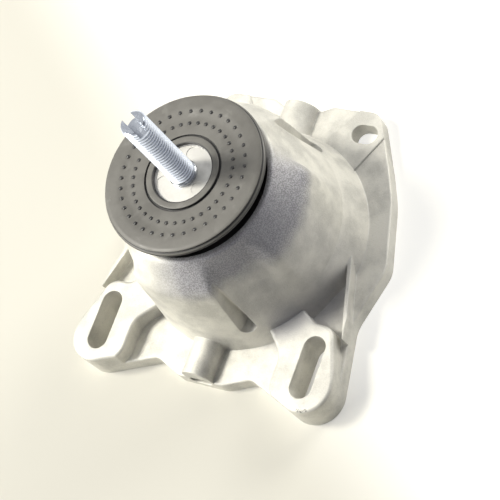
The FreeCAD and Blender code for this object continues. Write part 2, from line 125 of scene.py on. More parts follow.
class MountDiscSizes(PropertyGroup):
    recess: length("Recess", "Depth of the core's face below the disc's face", 2.3 * MM)
    inner_radius: length("Inner radius", "Radius of the hole in the rubber", 13.9 * MM)
    lip_radius: length("Lip radius", "Outer radius of the moulded lip round the hole", 17.3 * MM)
    lip_drop: length("Lip drop", "Depth of the lip below the disc's face", 0.25 * MM)
    groove_width: length("Groove width", "Width of the groove round the lip", 0.9 * MM)
    groove_depth: length("Groove depth", "Depth of the groove round the lip", 0.8 * MM)
    dish_depth: length("Dish", "Depth of the dished inner field", 0.7 * MM)
    dish_in: length("Dish inner radius", "Radius where the inner field becomes level", 26.4 * MM)
    dish_out: length("Dish outer radius", "Radius where the outer rim begins", 31.2 * MM)
    face_radius: length("Face radius", "Radius where the face turns down to the edge", 35.9 * MM)
    inner_ring: length("Inner ring", "Radius of the inner ring of bumps", 23.73 * MM)
    outer_ring: length("Outer ring", "Radius of the outer ring of bumps", 29.5 * MM)
    bump_count: IntProperty(name="Bumps", description="Bumps in one ring", default=36, min=3)
    bump_radius: length("Bump radius", "Radius of one bump where it meets the face", 0.95 * MM)
    bump_height: length("Bump height", "Height of one bump", 0.5 * MM)
    bump_phase: angle("Bump phase", "Direction of the first bump", 4.7)
    segments: IntProperty(name="Segments", description="Segments round the disc", default=192, min=24)


class MountFinishes(PropertyGroup):
    cast: colour("Cast", "Blasted cast aluminium", (0.745, 0.73, 0.67))
    cast_dark: colour("Cast shade", "Darker clouds in the casting", (0.53, 0.52, 0.48))
    rubber: colour("Disc rubber", "Moulded rubber of the stop disc", (0.15, 0.145, 0.133))
    rubber_worn: colour("Rubbed rubber", "Paler rubbed patches of the stop disc", (0.24, 0.235, 0.22))
    zinc: colour("Zinc", "Bluish zinc plating of the stud", (0.88, 0.93, 1.0))
    core: colour("Core", "Bright face of the core", (0.66, 0.65, 0.62))
    steel: colour("Steel", "Pressed steel parts inside", (0.36, 0.36, 0.37))
    plate: colour("Plates", "Aluminium channel plates inside", (0.60, 0.60, 0.60))
    spring: colour(
        "Spring rubber", "Soft rubber of the spring, membrane and diaphragm", (0.018, 0.018, 0.019)
    )


class MountStage(PropertyGroup):
    key: level("Key light", "Level of the light from the upper left", 0.94)
    side: level("Side light", "Level of the low light from the right", 0.68)
    front: level("Front light", "Level of the low light from the left front", 0.58)
    ambient: level("Ambient", "Level of the light from all round", 0.06)
    camera_place: FloatVectorProperty(
        name="Camera", description="Place of the camera",
        default=(0.3813, -0.2091, 0.6233), subtype="TRANSLATION",
    )
    camera_aim: FloatVectorProperty(
        name="Aim", description="Point that the camera looks at",
        default=(-0.001539, -0.002857, 0.004495), subtype="TRANSLATION",
    )
    camera_roll: angle("Roll", "Turn of the camera about its line of sight", 45.411)
    camera_lens: FloatProperty(name="Lens", description="Focal length in millimetres", default=117.67)


def finished(obj, material):
    """Gives a piece its material and its body."""
    obj.data.materials.clear()
    obj.data.materials.append(material)
    if "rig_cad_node" not in obj:
        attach(obj, BODY)


def piece_from(bm, name):
    """Smooth-shaded object from a mesh under construction, with its doubles joined and its faces outward."""
    bmesh.ops.remove_doubles(bm, verts=bm.verts, dist=SAME_POINT)
    bmesh.ops.dissolve_degenerate(bm, edges=bm.edges, dist=NO_LENGTH)
    bmesh.ops.recalc_face_normals(bm, faces=bm.faces)
    for face in bm.faces:
        face.smooth = True
    mesh = bpy.data.meshes.new(name)
    bm.to_mesh(mesh)
    bm.free()
    obj = bpy.data.objects.new(name, mesh)
    bpy.context.scene.collection.objects.link(obj)
    return obj


def evaluated_mesh(obj):
    """Plain mesh of an object with its modifiers carried out."""
    graph = bpy.context.evaluated_depsgraph_get()
    return bpy.data.meshes.new_from_object(obj.evaluated_get(graph), depsgraph=graph)


def settle_modifiers(obj):
    """Carries out an object's modifiers and removes them."""
    mesh = evaluated_mesh(obj)
    obj.modifiers.clear()
    obj.data = mesh
    return obj


def sharpened(obj, degrees):
    """Keeps edges steeper than an angle crisp on a smooth-shaded mesh."""
    obj.data.set_sharp_from_angle(angle=math.radians(degrees))
    return obj


class Nodes:
    """Node tree under construction, whose inputs are linked or given a value."""

    def __init__(self, tree):
        self.tree = tree

    def new(self, kind, links=None, **settings):
        """Node with settings, and with inputs that are linked or given a value."""
        node = self.tree.nodes.new(kind)
        for key, value in settings.items():
            setattr(node, key, value)
        for key, value in (links or {}).items():
            self.put(node.inputs[key], value)
        return node

    def put(self, socket, value):
        """Links a socket to another one, or sets its value."""
        if isinstance(value, bpy.types.NodeSocket):
            self.tree.links.new(value, socket)
        else:
            socket.default_value = value

    def maths(self, operation, first, second=0.0):
        """One sum on two values."""
        return self.new("ShaderNodeMath", {0: first, 1: second}, operation=operation).outputs[0]

    def product(self, first, second):
        """Two values multiplied."""
        return self.maths("MULTIPLY", first, second)

    def largest(self, first, *others):
        """The largest of some values."""
        for other in others:
            first = self.maths("MAXIMUM", first, other)
        return first

    def off(self, value, middle):
        """How far a value is from a middle one, either way."""
        return self.maths("ABSOLUTE", self.maths("SUBTRACT", value, middle))

    def vector_value(self, operation, *vectors):
        """One sum on vectors that gives a single value."""
        node = self.new("ShaderNodeVectorMath", dict(enumerate(vectors)), operation=operation)
        return node.outputs["Value"]

    def spread(self, value, low, high, to_low=0.0, to_high=1.0, kind="SMOOTHSTEP"):
        """A value's range spread over another one, and kept inside it."""
        node = self.new("ShaderNodeMapRange", {
            "Value": value, "From Min": low, "From Max": high, "To Min": to_low, "To Max": to_high,
        }, interpolation_type=kind)
        return node.outputs["Result"]

    def mixed(self, share_of_second, first, second):
        """Colour between two colours."""
        node = self.new("ShaderNodeMix", data_type="RGBA")
        self.put(node.inputs["Factor"], share_of_second)
        self.put(node.inputs["A"], opaque(first))
        self.put(node.inputs["B"], opaque(second))
        return node.outputs["Result"]

    def layered(self, base, *layers):
        """Colour under layers, each given by the mask that it shows through, its strength and its colour."""
        for mask, strength, tone in layers:
            base = self.mixed(self.product(mask, strength), base, tone)
        return base

    def seen_directly(self):
        """1 for what the camera sees, also in a mirror or through glass, and 0 for the light that falls."""
        rays = self.new("ShaderNodeLightPath").outputs
        return self.largest(rays["Is Camera Ray"], rays["Is Glossy Ray"], rays["Is Transmission Ray"])


class Shader(Nodes):
    """Node tree of one material, built from left to right."""

    def __init__(self, name):
        self.material = bpy.data.materials.new(name)
        self.material.use_nodes = True
        super().__init__(self.material.node_tree)
        self.principled = self.tree.nodes["Principled BSDF"]
        self.place = self.new("ShaderNodeTexCoord").outputs["Object"]

    def set(self, **values):
        """Sets inputs of the surface shader, named with underscores for spaces."""
        for key, value in values.items():
            self.put(self.principled.inputs[key.replace("_", " ")], value)

    def noise(self, size, detail=2.0, roughness=0.5, place=None, distortion=0.0):
        """Noise whose features have a size in metres, about 0.5 in the middle."""
        node = self.new("ShaderNodeTexNoise", {
            "Vector": place or self.place, "Scale": 1 / size, "Detail": detail,
            "Roughness": roughness, "Distortion": distortion,
        })
        return node.outputs["Fac"]

    def mottle(self, size, detail=3):
        """Mask of soft patches that have a size in metres."""
        return self.spread(self.noise(size, detail=detail, roughness=0.6), 0.35, 0.7)

    def near(self, point, radius, softness):
        """1 within a radius of a point in metres, and 0 beyond it."""
        away = self.vector_value("DISTANCE", self.place, point)
        return self.spread(away, radius - softness, radius + softness, 1.0, 0.0)

    def parts(self):
        """The X, Y and Z of the surface point."""
        split = self.new("ShaderNodeSeparateXYZ", {"Vector": self.place})
        return split.outputs["X"], split.outputs["Y"], split.outputs["Z"]

    def radius(self):
        """Distance of the surface point from the stud's axis."""
        flat = self.new("ShaderNodeVectorMath", {0: self.place, 1: (1, 1, 0)}, operation="MULTIPLY")
        return self.vector_value("LENGTH", flat.outputs["Vector"])

    def bumped(self, height, depth, strength, normal=None):
        """Normal bent by a height from 0 to 1 that stands for a depth in metres."""
        links = {"Height": height, "Distance": depth, "Strength": strength}
        if normal is not None:
            links["Normal"] = normal
        return self.new("ShaderNodeBump", links).outputs["Normal"]


def opaque(value):
    """Colour with its alpha, where it isn't a socket."""
    return value if isinstance(value, bpy.types.NodeSocket) else (*value, 1.0)


# Casting: sizes of the forms in its surface, the width of its worn edges and the depth of its grain
CAST_CLOUDS = 14 * MM
CAST_GRAIN = 0.42 * MM
CAST_SPARKLE = 0.55 * MM
CAST_SPECKS = 1.1 * MM
CAST_PITS = 0.9 * MM
CAST_EDGE = 0.7 * MM
CAST_DEPTH = 0.14 * MM

# Colours laid over the casting's own
SPECK_SHARE = 0.72
SPARKLE_TONE = (0.86, 0.86, 0.84)
WORN_TONE = (0.84, 0.835, 0.80)
# Painted shade on the bell's top, mixed with the sparkle of the grain
PAINTED_SHADE_TONES = ((0.10, 0.10, 0.135), (0.32, 0.32, 0.38))
# Painted shade lower on the same side
LOW_SHADE_TONE = (0.28, 0.28, 0.32)
# Painted shade in the nooks beside the right ear
NOOK_SHADE_TONE = (0.26, 0.26, 0.31)
NICK_TONE = (0.10, 0.095, 0.085)

# Painted shade of the disc's shadow on one side of the bell's top: the side's X and Y, how squarely a place
# faces that side where the shade begins and is full, the heights where it does, and the size and height of
# its ragged lower edge
SHADE_SIDE = (0.88, -0.47)
SHADE_FACING = (0.25, 0.7)
SHADE_HEIGHTS = (50 * MM, 62 * MM)
SHADE_RAG_SIZE = 7 * MM
SHADE_RAG_HEIGHT = 5 * MM

# Painted shade lower on the same side: how squarely it faces that side, and where it ends away from the
# stud's axis
LOW_SHADE_FACING = (0.72, 0.95)
LOW_SHADE_RADII = (63 * MM, 54 * MM)

# Painted shade in the nooks between the bell and the right ear: middle, radius and softness
NOOK_SHADES = (
    ((48 * MM, -24 * MM, 13 * MM), 12 * MM, 9 * MM),
    ((38 * MM, -34 * MM, 18 * MM), 9 * MM, 7 * MM),
)

# Dark nicks on the rim of the right ear: middles, and the radius, softness and grain that they share
NICK_PLACES = (
    (60.4 * MM, -73.1 * MM, 16.9 * MM),
    (58.6 * MM, -73.6 * MM, 16.8 * MM),
    (56.9 * MM, -73.6 * MM, 16.8 * MM),
)
NICK_RADIUS = 0.8 * MM
NICK_SOFTNESS = 0.3 * MM
NICK_GRAIN = 0.8 * MM


def worn_edges(shader):
    """The normal rounded at the edges, and a mask of those edges."""
    rounded = shader.new("ShaderNodeBevel", {"Radius": CAST_EDGE}, samples=4).outputs["Normal"]
    flat = shader.new("ShaderNodeNewGeometry").outputs["True Normal"]
    return rounded, shader.spread(shader.vector_value("DOT_PRODUCT", rounded, flat), 0.99, 0.88)


def side_shade_masks(shader):
    """Masks of the painted shade on one side of the casting: on the bell's top, and lower down."""
    x, y, z = shader.parts()
    radius = shader.radius()
    sideways = shader.maths("ADD", shader.product(x, SHADE_SIDE[0]), shader.product(y, SHADE_SIDE[1]))
    facing = shader.maths("DIVIDE", sideways, radius)
    rag = shader.product(shader.noise(SHADE_RAG_SIZE, detail=3), SHADE_RAG_HEIGHT)
    high = shader.spread(shader.maths("ADD", z, rag), *SHADE_HEIGHTS)
    top_shade = shader.product(high, shader.spread(facing, *SHADE_FACING))
    low_shade = shader.product(shader.spread(facing, *LOW_SHADE_FACING), shader.spread(radius, *LOW_SHADE_RADII))
    return top_shade, low_shade


def cast_aluminium(finishes):
    """Blasted die-cast aluminium: matt grain, clouds, pits, paler edges, and painted shade on one side and in
    the nooks by the right ear.
    """
    shader = Shader("cast_aluminium")
    clouds = shader.spread(shader.noise(CAST_CLOUDS, detail=4, roughness=0.55), 0.35, 0.68)
    grain = shader.noise(CAST_GRAIN, detail=3, roughness=0.65)
    sparkle = shader.spread(shader.noise(CAST_SPARKLE, detail=1), 0.4, 0.62)
    specks = shader.spread(shader.noise(CAST_SPECKS), 0.62, 0.78)
    pits = shader.spread(shader.noise(CAST_PITS, detail=1), 0.25, 0.4)
    rounded, edge = worn_edges(shader)
    top_shade, low_shade = side_shade_masks(shader)
    nook_shade = shader.largest(*(shader.near(*patch) for patch in NOOK_SHADES))
    nicks = shader.largest(*(shader.near(place, NICK_RADIUS, NICK_SOFTNESS) for place in NICK_PLACES))
    nicks = shader.product(nicks, shader.spread(shader.noise(NICK_GRAIN, roughness=0.6), 0.42, 0.52))
    base = shader.layered(
        shader.mixed(clouds, finishes.cast, finishes.cast_dark),
        (specks, 0.35, [part * SPECK_SHARE for part in finishes.cast_dark]),
        (sparkle, 0.16, SPARKLE_TONE),
        (edge, 0.35, WORN_TONE),
        # Painted shade: the disc's shadow on one side of the bell's top
        (top_shade, 0.72, shader.mixed(sparkle, *PAINTED_SHADE_TONES)),
        # Painted shade lower on the same side
        (low_shade, 0.32, LOW_SHADE_TONE),
        # Painted shade in the nooks beside the right ear
        (nook_shade, 0.4, NOOK_SHADE_TONE),
        (nicks, 0.8, NICK_TONE),
    )
    height = shader.maths("ADD", shader.product(grain, 0.6), shader.product(pits, 0.4))
    shader.set(
        Base_Color=base,
        Metallic=0.5,
        Roughness=shader.spread(grain, 0.3, 0.7, 0.56, 0.68, "LINEAR"),
        Normal=shader.bumped(height, CAST_DEPTH, 0.9, rounded),
    )
    return shader.material


# Disc rubber: sizes of the forms in its surface, the depth of its grain, and the black of its painted shade
RUBBER_DUST = 6 * MM
RUBBER_RUBS = 11 * MM
RUBBER_GRAIN = 0.35 * MM
RUBBER_DEPTH = 0.03 * MM
SHADE_BLACK_TONE = (0.018, 0.018, 0.019)

# Where the rubber is rubbed pale, measured up from the core's face. Where black is painted as shade: in the
# dip of the edge, measured from its middle, at the foot of the edge, on the domes, and round the groove and
# the throat.
RUBBED_FROM = (1.2 * MM, 1.9 * MM)
EDGE_DIP_UP = 2.5 * MM
EDGE_DIP_HALF = (0.2 * MM, 0.45 * MM)
EDGE_DIP_RADII = (36.0 * MM, 36.4 * MM)
EDGE_FOOT_UP = (1.8 * MM, 1.4 * MM)
DOME_UP = (0.08 * MM, 0.2 * MM)
DOME_RADII = (20 * MM, 21 * MM)
GROOVE_HALF = (0.45 * MM, 0.75 * MM)
THROAT_RIM = (0.3 * MM, 0.9 * MM)


def black_shade_places(shader, disc):
    """Masks of the disc's domes, and of its hollows and the foot of its edge, where black is painted as
    shade.
    """
    _, _, z = shader.parts()
    radius = shader.radius()
    low = DISC_LOW.z
    dip = shader.product(
        shader.spread(shader.off(z, low + EDGE_DIP_UP), *EDGE_DIP_HALF, 1, 0),
        shader.spread(radius, *EDGE_DIP_RADII),
    )
    foot = shader.spread(z, *(low + up for up in EDGE_FOOT_UP))
    dish = shader.spread(radius, disc.dish_in, disc.dish_out, 0, disc.dish_depth, "LINEAR")
    above = shader.maths("SUBTRACT", shader.maths("SUBTRACT", z, face_height(disc, disc.dish_in)), dish)
    domes = shader.product(shader.spread(above, *DOME_UP), shader.spread(radius, *DOME_RADII))
    from_groove = shader.off(radius, disc.lip_radius + disc.groove_width / 2)
    groove = shader.spread(from_groove, *GROOVE_HALF, 1, 0)
    throat = shader.spread(radius, *(disc.inner_radius + out for out in THROAT_RIM), 1, 0)
    return domes, shader.largest(dip, foot, groove, throat)


def moulded_rubber(finishes, disc):
    """Firm moulded rubber: dusty grey with paler rubbed patches, and painted shade in black on the domes and
    in the hollows.
    """
    shader = Shader("disc_rubber")
    _, _, z = shader.parts()
    dust = shader.mottle(RUBBER_DUST)
    rubs = shader.noise(RUBBER_RUBS, detail=3, roughness=0.65, distortion=0.4)
    on_face = shader.spread(z, *(CORE_FACE_Z + up for up in RUBBED_FROM))
    domes, shaded_parts = black_shade_places(shader, disc)
    base = shader.layered(
        finishes.rubber,
        (dust, 0.25, finishes.rubber_worn),
        (shader.product(shader.spread(rubs, 0.56, 0.7), on_face), 0.6, finishes.rubber_worn),
        # Painted shade: black on the domes, round the groove and the throat, and in the dip and at the foot
        # of the edge
        (shader.largest(domes, shaded_parts), 0.92, SHADE_BLACK_TONE),
    )
    dusty = shader.spread(dust, 0, 1, 0.42, 0.55, "LINEAR")
    shader.set(
        Base_Color=base,
        Roughness=shader.maths("SUBTRACT", dusty, shader.product(domes, 0.1)),
        Normal=shader.bumped(shader.noise(RUBBER_GRAIN, roughness=0.6), RUBBER_DEPTH, 0.6),
    )
    return shader.material


# Soft rubber: sizes of its bloom and grain, and the bloom's tone
BLOOM_SIZE = 8 * MM
BLOOM_TONE = (0.05, 0.05, 0.048)
SOFT_GRAIN = 0.5 * MM


def soft_rubber(finishes):
    """Black natural rubber with a faint bloom."""
    shader = Shader("soft_rubber")
    bloom = shader.spread(shader.noise(BLOOM_SIZE, detail=3, roughness=0.6), 0.45, 0.75)
    shader.set(
        Base_Color=shader.layered(finishes.spring, (bloom, 0.4, BLOOM_TONE)),
        Roughness=shader.spread(bloom, 0, 1, 0.45, 0.62, "LINEAR"),
        Normal=shader.bumped(shader.noise(SOFT_GRAIN), RUBBER_DEPTH, 0.5),
    )
    return shader.material


# Stud: sizes of its dull patches and grain, the grain's depth, and the tones of its patches, thread roots and
# foot; the roots' tone is painted shade. The foot's tone fades over the heights above the core's face, the
# roots' tone over the radii.
ZINC_MOTTLE = 1.6 * MM
ZINC_GRAIN = 0.25 * MM
ZINC_DEPTH = 0.02 * MM
ZINC_DULL = (0.56, 0.60, 0.70)
ZINC_ROOT_SHADE = (0.08, 0.09, 0.12)
ZINC_FOOT = (0.13, 0.13, 0.135)
FOOT_UP = (1.6 * MM, 3.4 * MM)
ROOT_SHADE_RADII = (5.15 * MM, 5.8 * MM)


def zinc_plate(finishes):
    """Bright bluish zinc on steel, with a dull mottle, painted shade in the thread roots and a darker foot at
    the collar.
    """
    shader = Shader("zinc_steel")
    mottle = shader.mottle(ZINC_MOTTLE)
    _, _, z = shader.parts()
    foot = shader.spread(z, *(CORE_FACE_Z + up for up in FOOT_UP), 1.0, 0.0)
    # Painted shade in the roots of the thread
    root = shader.spread(shader.radius(), *ROOT_SHADE_RADII, 1.0, 0.0)
    base = shader.layered(
        finishes.zinc, (mottle, 0.25, ZINC_DULL), (root, 0.65, ZINC_ROOT_SHADE), (foot, 0.65, ZINC_FOOT)
    )
    shader.set(
        Base_Color=base,
        Metallic=1.0,
        Roughness=shader.spread(mottle, 0, 1, 0.2, 0.34, "LINEAR"),
        Normal=shader.bumped(shader.noise(ZINC_GRAIN, detail=3, roughness=0.6), ZINC_DEPTH, 0.5),
    )
    return shader.material


# Core: sizes of its turned rings, dull patches and grain, the depth of its surface and the patches' tone
CORE_RINGS = 0.22 * MM
CORE_MOTTLE = 3 * MM
CORE_GRAIN = 0.3 * MM
CORE_DEPTH = 0.04 * MM
CORE_DULL = (0.50, 0.49, 0.46)


def core_metal(finishes):
    """Bright cast core with a faint turned grain on its end face."""
    shader = Shader("core_metal")
    outwards = shader.new("ShaderNodeCombineXYZ", {"X": shader.radius()}).outputs["Vector"]
    rings = shader.noise(CORE_RINGS, roughness=0.6, place=outwards)
    mottle = shader.mottle(CORE_MOTTLE, detail=4)
    grain = shader.noise(CORE_GRAIN, detail=3, roughness=0.6)
    height = shader.maths("ADD", shader.product(rings, 0.35), shader.product(grain, 0.65))
    shader.set(
        Base_Color=shader.layered(finishes.core, (mottle, 0.4, CORE_DULL)),
        Metallic=0.55,
        Roughness=shader.spread(mottle, 0, 1, 0.36, 0.48, "LINEAR"),
        Normal=shader.bumped(height, CORE_DEPTH, 0.6),
    )
    return shader.material


# Plain metals: sizes of their patches and grain, the grain's depth, the patches' share of the colour, and how
# much rougher a patch is
PLAIN_MOTTLE = 5 * MM
PLAIN_GRAIN = 0.4 * MM
PLAIN_DEPTH = 0.02 * MM
PLAIN_SHARE = 0.7
PLAIN_ROUGHER = 0.12


def plain_metal(name, tone, metallic, rough):
    """Plain inner metal with a soft mottle and drawn grain."""
    shader = Shader(name)
    mottle = shader.mottle(PLAIN_MOTTLE)
    shader.set(
        Base_Color=shader.layered(tone, (mottle, 0.35, [part * PLAIN_SHARE for part in tone])),
        Metallic=metallic,
        Roughness=shader.spread(mottle, 0, 1, rough, rough + PLAIN_ROUGHER, "LINEAR"),
        Normal=shader.bumped(shader.noise(PLAIN_GRAIN, detail=3, roughness=0.6), PLAIN_DEPTH, 0.5),
    )
    return shader.material


def ring_of(bm, columns, radius_at, z):
    """Ring of points round the axis, where the radius may depend on the angle."""
    turn = 2 * math.pi / columns
    return [
        bm.verts.new((radius_at(i * turn) * math.cos(i * turn), radius_at(i * turn) * math.sin(i * turn), z))
        for i in range(columns)
    ]


# An arc at a corner takes less than half of each side there, so that two arcs never meet
ARC_REACH = 0.48
ARC_STEPS = 4


def eased_outline(corners):
    """Closed (radius, height) outline from (radius, height, rounding) corners, with arcs where rounded."""
    outline = []
    for i, (r, z, rounding) in enumerate(corners):
        here = Vector((r, z))
        if rounding == 0:
            outline.append(here)
            continue
        back = Vector(corners[i - 1][:2]) - here
        ahead = Vector(corners[(i + 1) % len(corners)][:2]) - here
        reach = min(rounding, back.length * ARC_REACH, ahead.length * ARC_REACH)
        start, end = here + back.normalized() * reach, here + ahead.normalized() * reach
        for k in range(ARC_STEPS + 1):
            t = k / ARC_STEPS
            outline.append(start * (1 - t) ** 2 + here * 2 * t * (1 - t) + end * t ** 2)
    return outline


def turned_piece(name, outline, segments):
    """Solid of revolution about the stud's axis from a closed outline that stays clear of the axis."""
    bm = bmesh.new()
    turn = 2 * math.pi / segments
    rows = [
        [bm.verts.new((r * math.cos(i * turn), r * math.sin(i * turn), z)) for r, z in outline]
        for i in range(segments)
    ]
    count = len(outline)
    for i in range(segments):
        here, after = rows[i], rows[(i + 1) % segments]
        for k in range(count):
            following = (k + 1) % count
            bm.faces.new((here[k], after[k], after[following], here[following]))
    return piece_from(bm, name)


# Thread profile over one pitch: (share of the pitch, share of the depth below the crest)
THREAD_PROFILE = (
    (0.00, 0.10), (0.03, 0.0), (0.11, 0.0), (0.14, 0.10),
    (0.43, 0.92), (0.48, 1.0), (0.66, 1.0), (0.71, 0.92),
)
COLLAR_EDGE = 0.3 * MM


def thread_depth(turns):
    """Depth below the crest, as a share, at a number of pitches along the thread."""
    place = turns % 1
    points = THREAD_PROFILE + ((1.0, THREAD_PROFILE[0][1]),)
    for (low, low_depth), (high, high_depth) in zip(points, points[1:]):
        if place <= high:
            return low_depth + (high_depth - low_depth) * (place - low) / (high - low)
    return points[-1][1]


def threaded_stud(sizes):
    """Stud with its real helical thread, as one closed mesh: root, collar, thread and coned tip."""
    bm = bmesh.new()
    foot = CORE_FACE_Z + sizes.collar_height
    tip = STUD_HIGH.z
    collar = STUD_HIGH.x
    columns = sizes.columns
    turn = 2 * math.pi / columns

    def thread_radius(angle_round, z):
        depth = sizes.depth * thread_depth((z - foot) / sizes.pitch - angle_round / (2 * math.pi))
        cone = sizes.radius - sizes.chamfer + (tip - z)
        return min(sizes.radius - depth, cone)

    plain = [
        (sizes.radius, STUD_LOW.z), (sizes.radius, CORE_FACE_Z - sizes.collar_seat),
        (collar, CORE_FACE_Z - sizes.collar_seat), (collar, foot - COLLAR_EDGE), (collar - COLLAR_EDGE, foot),
    ]
    rings = [ring_of(bm, columns, lambda _, r=r: r, z) for r, z in plain]
    rings.append(ring_of(bm, columns, lambda a: thread_radius(a, foot), foot))
    for low, high in zip(rings, rings[1:]):
        for i in range(columns):
            after = (i + 1) % columns
            bm.faces.new((low[i], low[after], high[after], high[i]))
    bm.faces.new(reversed(rings[0]))

    per_turn = len(THREAD_PROFILE)
    turns = math.ceil((tip - foot) / sizes.pitch) + 2
    rows = []
    for row in range(turns * per_turn):
        along = row // per_turn - 1 + THREAD_PROFILE[row % per_turn][0]
        points = []
        for i in range(columns):
            z = foot + sizes.pitch * (along + i / columns)
            z = min(max(z, foot), tip)
            r = thread_radius(i * turn, z)
            points.append(bm.verts.new((r * math.cos(i * turn), r * math.sin(i * turn), z)))
        rows.append(points)
    for row in range(len(rows) - 1):
        for i in range(columns):
            if i + 1 < columns:
                corners = (rows[row][i], rows[row][i + 1], rows[row + 1][i + 1], rows[row + 1][i])
            elif row + per_turn + 1 < len(rows):
                after = row + per_turn
                corners = (rows[row][i], rows[after][0], rows[after + 1][0], rows[row + 1][i])
            else:
                continue
            bm.faces.new(corners)
    bmesh.ops.remove_doubles(bm, verts=bm.verts, dist=SAME_POINT)
    bmesh.ops.dissolve_degenerate(bm, edges=bm.edges, dist=NO_LENGTH)
    bmesh.ops.holes_fill(bm, edges=[e for e in bm.edges if e.is_boundary], sides=0)
    return piece_from(bm, "threaded_stud")


# Edges of the stud and of the disc that are steeper than these angles, in degrees, are shaded crisp
STUD_CRISP = 32
DISC_CRISP = 50


def cut_cross_slot(stud, sizes):
    """Cuts the slot across the stud's tip."""
    bm = bmesh.new()
    bmesh.ops.create_cube(bm, size=1)
    wide = 4 * sizes.radius
    scale = Matrix.Diagonal((wide, sizes.slot_width, 2 * sizes.slot_depth, 1))
    place = Matrix.Translation((0, 0, STUD_HIGH.z)) @ Matrix.Rotation(sizes.slot_turn, 4, "Z") @ scale
    bmesh.ops.transform(bm, matrix=place, verts=bm.verts)
    cutter = piece_from(bm, "slot_cutter")
    cut = stud.modifiers.new("slot", "BOOLEAN")
    cut.object = cutter
    cut.operation = "DIFFERENCE"
    cut.solver = "EXACT"
    settle_modifiers(stud)
    bpy.data.objects.remove(cutter)
    return sharpened(stud, STUD_CRISP)


def bump_tree(material):
    """Geometry nodes that stand domed bumps on two rings of the disc's face."""
    tree = bpy.data.node_groups.new("domed_bumps", "GeometryNodeTree")
    names = (
        ("Count", "NodeSocketInt"), ("Inner Ring", "NodeSocketFloat"), ("Outer Ring", "NodeSocketFloat"),
        ("Inner Height", "NodeSocketFloat"), ("Outer Height", "NodeSocketFloat"),
        ("Phase", "NodeSocketFloat"), ("Bump Radius", "NodeSocketFloat"), ("Bump Height", "NodeSocketFloat"),
    )
    for name, kind in names:
        tree.interface.new_socket(name, in_out="INPUT", socket_type=kind)
    tree.interface.new_socket("Geometry", in_out="OUTPUT", socket_type="NodeSocketGeometry")
    given = tree.nodes.new("NodeGroupInput")
    made = tree.nodes.new("NodeGroupOutput")

    def node(kind, **links):
        new = tree.nodes.new(kind)
        for key, value in links.items():
            socket = new.inputs[key.replace("_", " ")]
            if isinstance(value, bpy.types.NodeSocket):
                tree.links.new(value, socket)
            else:
                socket.default_value = value
        return new

    def ring(radius, height):
        circle = node(
            "GeometryNodeMeshCircle", Vertices=given.outputs["Count"], Radius=given.outputs[radius]
        )
        lift = node("ShaderNodeCombineXYZ", Z=given.outputs[height])
        turn = node("ShaderNodeCombineXYZ", Z=given.outputs["Phase"])
        return node(
            "GeometryNodeTransform", Geometry=circle.outputs["Mesh"],
            Translation=lift.outputs["Vector"], Rotation=turn.outputs["Vector"],
        )

    joined = tree.nodes.new("GeometryNodeJoinGeometry")
    for radius, height in (("Inner Ring", "Inner Height"), ("Outer Ring", "Outer Height")):
        tree.links.new(ring(radius, height).outputs["Geometry"], joined.inputs["Geometry"])
    ball = node("GeometryNodeMeshUVSphere", Segments=18, Rings=10, Radius=1.0)
    shape = node(
        "ShaderNodeCombineXYZ", X=given.outputs["Bump Radius"], Y=given.outputs["Bump Radius"],
        Z=given.outputs["Bump Height"],
    )
    dome = node("GeometryNodeTransform", Geometry=ball.outputs["Mesh"], Scale=shape.outputs["Vector"])
    smooth = node("GeometryNodeSetShadeSmooth", Geometry=dome.outputs["Geometry"])
    stood = node(
        "GeometryNodeInstanceOnPoints", Points=joined.outputs["Geometry"], Instance=smooth.outputs["Geometry"]
    )
    real = node("GeometryNodeRealizeInstances", Geometry=stood.outputs["Instances"])
    dressed = node("GeometryNodeSetMaterial", Geometry=real.outputs["Geometry"], Material=material)
    tree.links.new(dressed.outputs["Geometry"], made.inputs["Geometry"])
    return tree


def socket_key(tree, name):
    """Identifier of a tree's named input."""
    return next(item.identifier for item in tree.interface.items_tree if item.name == name)


def face_height(disc, radius):
    """Height of the disc's dished face at a radius."""
    over = (disc.dish_out - radius) / (disc.dish_out - disc.dish_in)
    return CORE_FACE_Z + disc.recess - disc.dish_depth * min(max(over, 0), 1)


# Beaded edge of the stop disc from its underside up: the distance in from its outer radius, the height above
# its underside and the rounding of each corner
EDGE_BEAD = (
    (0.5 * MM, 0.0, 0.4 * MM), (0.0, 0.7 * MM, 0.4 * MM), (0.0, 1.5 * MM, 0.4 * MM),
    (0.6 * MM, 2.2 * MM, 0.3 * MM), (1.4 * MM, EDGE_DIP_UP, 0.2 * MM), (1.0 * MM, 2.8 * MM, 0.2 * MM),
)
EDGE_TOP_IN = 1.0 * MM
EDGE_TOP_DOWN = 0.35 * MM
EDGE_TOP_ROUND = 0.3 * MM
FACE_ROUND = 0.8 * MM
DISH_ROUND = 1.2 * MM
GROOVE_MOUTH_ROUND = 0.2 * MM
GROOVE_FLOOR_ROUND = 0.1 * MM
LIP_ROUND = 0.55 * MM


